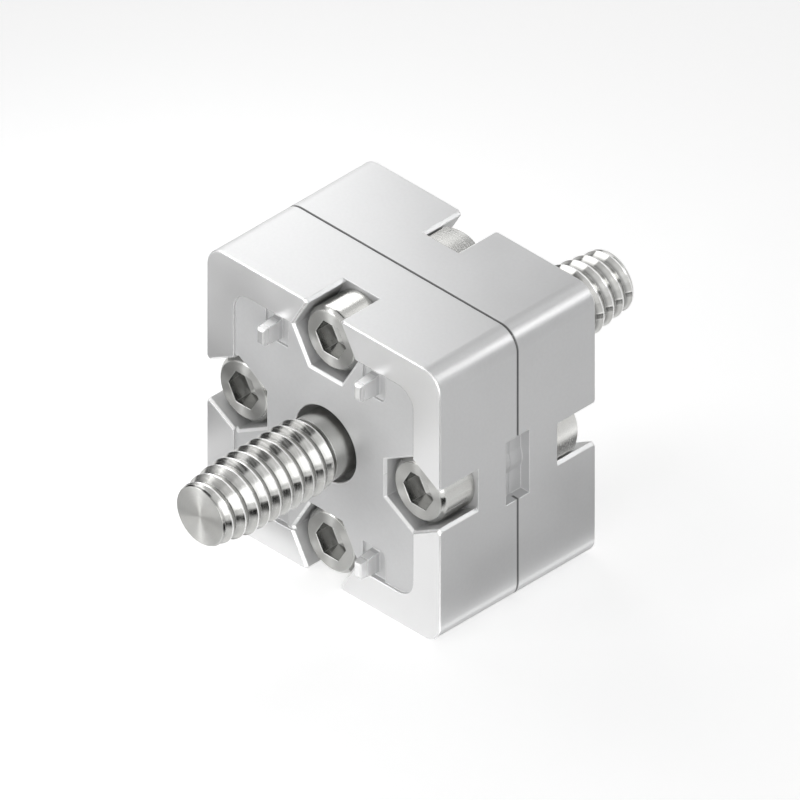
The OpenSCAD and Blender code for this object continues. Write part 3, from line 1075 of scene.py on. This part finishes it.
@dataclass
class ClampNut(ClampPiece):
    """Hexagon nut, chamfered at both ends, built on the local plane Z = 0 with a flat towards X."""

    flats: float = 10.0
    height: float = 4.4
    bore_r: float = 3.05
    lead_in: float = 0.35
    crown: float = 0.3
    chamfer_angle: float = 30.0

    def build(self) -> Object:
        """Build the mesh, a tube whose two skins meet at its ends.

        Returns:
            The nut, not yet in place.
        """
        stack = RingStack(segments=120, hollow=True)
        outline = hexagon_radius(stack.angles, self.flats, math.pi / 6, self.crown)
        sharp = hexagon_radius(stack.angles, self.flats, math.pi / 6)
        inscribed, middle = self.flats / 2, self.height / 2
        drop = (sharp - inscribed) * math.tan(math.radians(self.chamfer_angle))
        rows = [(self.bore_r, self.lead_in), (self.bore_r + self.lead_in, 0.0), (inscribed - 0.06, 0.0),
                (inscribed, 0.02), (outline - 0.03, drop), (outline, drop + 0.05)]
        stack.ring(self.bore_r, middle)
        for radius, depth in rows:
            stack.ring(radius, depth)
        for radius, depth in reversed(rows):
            stack.ring(radius, self.height - depth)
        stack.ring(self.bore_r, middle)
        return stack.build(f"clamp_nut_{self.place.label}_turned")

    def dress(self, material: Material) -> None:
        """Build the nut, put it in place and give it its finish.

        Args:
            material: Its material.
        """
        along = Vector(End.REAR.value)
        settle(self.build(), (self.seat(along), along, Vector(self.place.value)), "plated_nut", material)


# Studio


def show(item: Object, spot: Triple, facing: str | None = None) -> None:
    """Put a thing of the studio in its place in the scene.

    Args:
        item: The thing.
        spot: Its place, in millimetres.
        facing: The local axis that points at the middle of the block, or None if it lies level.
    """
    item.location = Vector(spot) * MM
    item.rotation_mode = "QUATERNION"
    if facing:
        item.rotation_quaternion = (-Vector(spot)).to_track_quat(facing, "Y")
    bpy.context.scene.collection.objects.link(item)


def sheet(name: str, size: tuple[float, float]) -> Object:
    """Make a level rectangle.

    Args:
        name: Its name.
        size: Its size along X and Y, in millimetres.

    Returns:
        The object, not yet in the scene.
    """
    mesh = bpy.data.meshes.new(name)
    x, y = (side / 2 * MM for side in size)
    mesh.from_pydata([(-x, -y, 0), (x, -y, 0), (x, y, 0), (-x, y, 0)], [], [(0, 1, 2, 3)])
    return bpy.data.objects.new(name, mesh)


@dataclass(frozen=True)
class Lamp:
    """Soft box that points at the middle of the block, in millimetres and watts."""

    name: str
    spot: Triple
    size: float
    power: float
    mirrored: bool = True

    def hang(self) -> None:
        """Put the lamp in the scene."""
        data = bpy.data.lights.new(self.name, "AREA")
        data.shape = "RECTANGLE"
        data.size = data.size_y = self.size * MM
        data.energy = self.power
        lamp = bpy.data.objects.new(self.name, data)
        lamp.visible_glossy = self.mirrored
        show(lamp, self.spot, "-Z")


@dataclass(frozen=True)
class Card:
    """Card that only reflections see, facing the middle of the block or lying over the floor.

    The tone is its brightness in the middle, from where it fades to the sky's at its border.
    Lengths are millimetres.
    """

    name: str
    spot: Triple
    size: tuple[float, float]
    tone: float
    lying: bool = False
    softness: float = 0.45

    def material(self) -> Material:
        """Make the card's glowing material.

        Returns:
            The material.
        """
        material, graph, shader = start_material(self.name)
        parts = graph.split(graph.place())
        full = []
        for axis, size in zip("XY", self.size):
            half = size / 2 * MM
            full.append(graph.fall(graph.math("ABSOLUTE", parts[axis]), (1 - self.softness) * half, half))
        glow = graph.math("MULTIPLY_ADD", graph.times(*full), self.tone - 1.0, 1.0)
        light = graph.fill(graph.add("ShaderNodeEmission"), Strength=glow)
        graph.tree.nodes.remove(shader)
        graph.fill(graph.tree.nodes["Material Output"], Surface=light.outputs[0])
        return material

    def hang(self) -> None:
        """Put the card in the scene."""
        board = sheet(self.name, self.size)
        show(board, self.spot, None if self.lying else "Z")
        board.data.materials.append(self.material())
        for ray in ("camera", "diffuse", "transmission", "volume_scatter", "shadow"):
            setattr(board, f"visible_{ray}", False)
        board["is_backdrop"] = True


LAMPS = (
    Lamp("upper_left_box", (-60, 14, 68), 80, 0.040),
    Lamp("front_right_box", (187.5, -237.5, 75), 200, 0.2656),
    Lamp("front_left_box", (-70, -190, 10), 100, 0.12, mirrored=False),
)

CARDS = (
    Card("upper_right_bright_card", (150, 150, 150), (120, 120), 6.5),
    Card("overhead_bright_card", (20, 115, 165), (70, 70), 2.0),
    Card("right_front_bright_card", (170, -100, 70), (100, 190), 2.3),
    Card("front_left_bright_card", (-115, -130, 100), (70, 70), 3.0),
    Card("front_left_far_bright_card", (-120, -195, 40), (56, 120), 5.0),
    Card("front_left_low_bright_card", (-100, -132, -6), (60, 30), 2.6),
    Card("left_dark_card", (-175, -5, 40), (160, 140), 0.05),
    Card("left_low_dark_card", (-150, -72, -2), (70, 46), 0.02),
    Card("right_dark_card", (149, 115, 66), (160, 36), 0.0),
    Card("overhead_dark_card", (-30, -76, 182), (160, 120), 0.02),
    Card("behind_left_grey_card", (-132, 125, 92), (80, 80), 0.35),
    Card("behind_top_grey_card", (-72, 121, 158), (60, 60), 0.35),
    Card("left_floor_dark_card", (-57, -47, -22), (66, 66), 0.12, lying=True),
    Card("right_floor_dark_card", (60, -51, -22), (84, 48), 0.0, lying=True),
    Card("front_floor_dark_card", (-6, -110, -22.1), (40, 96), 0.0, lying=True),
    Card("left_far_floor_bright_card", (-46, -106, -21.8), (28, 50), 3.0, lying=True),
    Card("front_foot_dark_card", (-17, -25, -21.9), (34, 16), 0.3, lying=True),
    Card("right_floor_bright_card", (46, 32, -21.8), (8, 34), 1.8, lying=True),
    Card("right_side_floor_dark_card", (38.5, 30, -22), (9, 36), 0.05, lying=True),
    Card("right_low_grey_card", (30, 14, -22.2), (13, 64), 0.3, lying=True),
    Card("right_foot_bright_card", (24.2, 4, -21.9), (3, 60), 2.4, lying=True),
)


@dataclass
class Studio:
    """Floor, sky, lamps, cards and camera. Lengths are millimetres."""

    block_half: float = 22.5
    floor_size: float = 6000.0
    horizon: float = 0.7
    zenith: float = 0.2
    view_scale: float = 109.06
    aim: tuple[float, float] = (-0.15, 0.03)
    camera_distance: float = 400.0
    camera_reach: tuple[float, float] = (10.0, 5000.0)

    def floor(self) -> None:
        """Lay the floor under the block."""
        plane = sheet("studio_floor", (self.floor_size, self.floor_size))
        show(plane, (0, 0, -self.block_half))
        plane.data.materials.append(FloorFinish().material())
        plane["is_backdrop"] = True

    def sky(self) -> None:
        """Make the world: plain even light, and white where a camera or a reflection sees it."""
        world = bpy.data.worlds.new("studio_sky")
        bpy.context.scene.world = world
        world.use_nodes = True
        graph = Graph(world.node_tree)
        shader = graph.tree.nodes["Background"]
        upward = graph.split(graph.add("ShaderNodeTexCoord").outputs["Generated"])["Z"]
        soft = graph.remap(upward, 0.0, 1.0, self.horizon, self.zenith, smooth=False)
        seen = graph.seen()
        unseen = graph.math("SUBTRACT", 1.0, seen)
        glow = graph.math("MULTIPLY_ADD", unseen, soft, seen)
        graph.fill(shader, Strength=glow, Color=(1.0, 1.0, 1.0, 1.0))

    def camera(self) -> None:
        """Set up the camera at the photograph's isometric angle."""
        data = bpy.data.cameras.new("isometric_camera")
        data.type = "ORTHO"
        data.ortho_scale = self.view_scale * MM
        data.clip_start, data.clip_end = (distance * MM for distance in self.camera_reach)
        back = Vector((1.0, -1.0, 1.0)).normalized()
        right = Vector((1.0, 1.0, 0.0)).normalized()
        camera = bpy.data.objects.new("isometric_camera", data)
        camera.rotation_mode = "QUATERNION"
        camera.rotation_quaternion = (-back).to_track_quat("-Z", "Y")
        aim = right * self.aim[0] + back.cross(right) * self.aim[1]
        camera.location = (aim + back * self.camera_distance) * MM
        bpy.context.scene.collection.objects.link(camera)
        bpy.context.scene.camera = camera

    def build(self) -> None:
        """Build the whole studio."""
        self.floor()
        self.sky()
        for item in (*LAMPS, *CARDS):
            item.hang()
        self.camera()


def corners() -> list[list[float]]:
    """Lowest and highest corner of what is shown, as plain lists."""
    return [list(map(float, corner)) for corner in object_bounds()]


def main() -> None:
    """Load the frame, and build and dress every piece."""
    logging.basicConfig(level=logging.INFO, format="%(name)s: %(message)s")
    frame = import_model()
    bpy.context.scene.view_settings.view_transform = "Standard"
    effects = SharedEffects()
    Studio().build()
    Castings().dress(frame, effects)
    for screw in (ProfileScrew(End.FRONT, length=29.8, point_length=6.0, crest_turn=222.0),
                  ProfileScrew(End.REAR, length=31.4, point_length=7.6, crest_turn=282.0)):
        screw.dress(screw.finish().material(effects))
    clamp_plate = PlatedFinish("plated_clamp_screw").material(effects)
    # The socket's plate is painted darker than the screw's, as painted shade in the recess
    shaded_socket_plate = PlatedFinish("plated_socket_inside", colour=(0.5, 0.5, 0.49), warm=(0.42, 0.42, 0.41),
                                roughness=0.16, end_roughness=0.3, anisotropy=0.0).material(effects)
    nut_plate = PlatedFinish("plated_nut", colour=(0.62, 0.62, 0.605), warm=(0.54, 0.535, 0.515),
                             roughness=0.2, end_roughness=0.3, anisotropy=0.0,
                             ring_tone=0.01).material(effects)
    for place in Place:
        ClampScrew(place).dress(clamp_plate, shaded_socket_plate)
        ClampNut(place).dress(nut_plate)


if __name__ == "__main__":
    main()
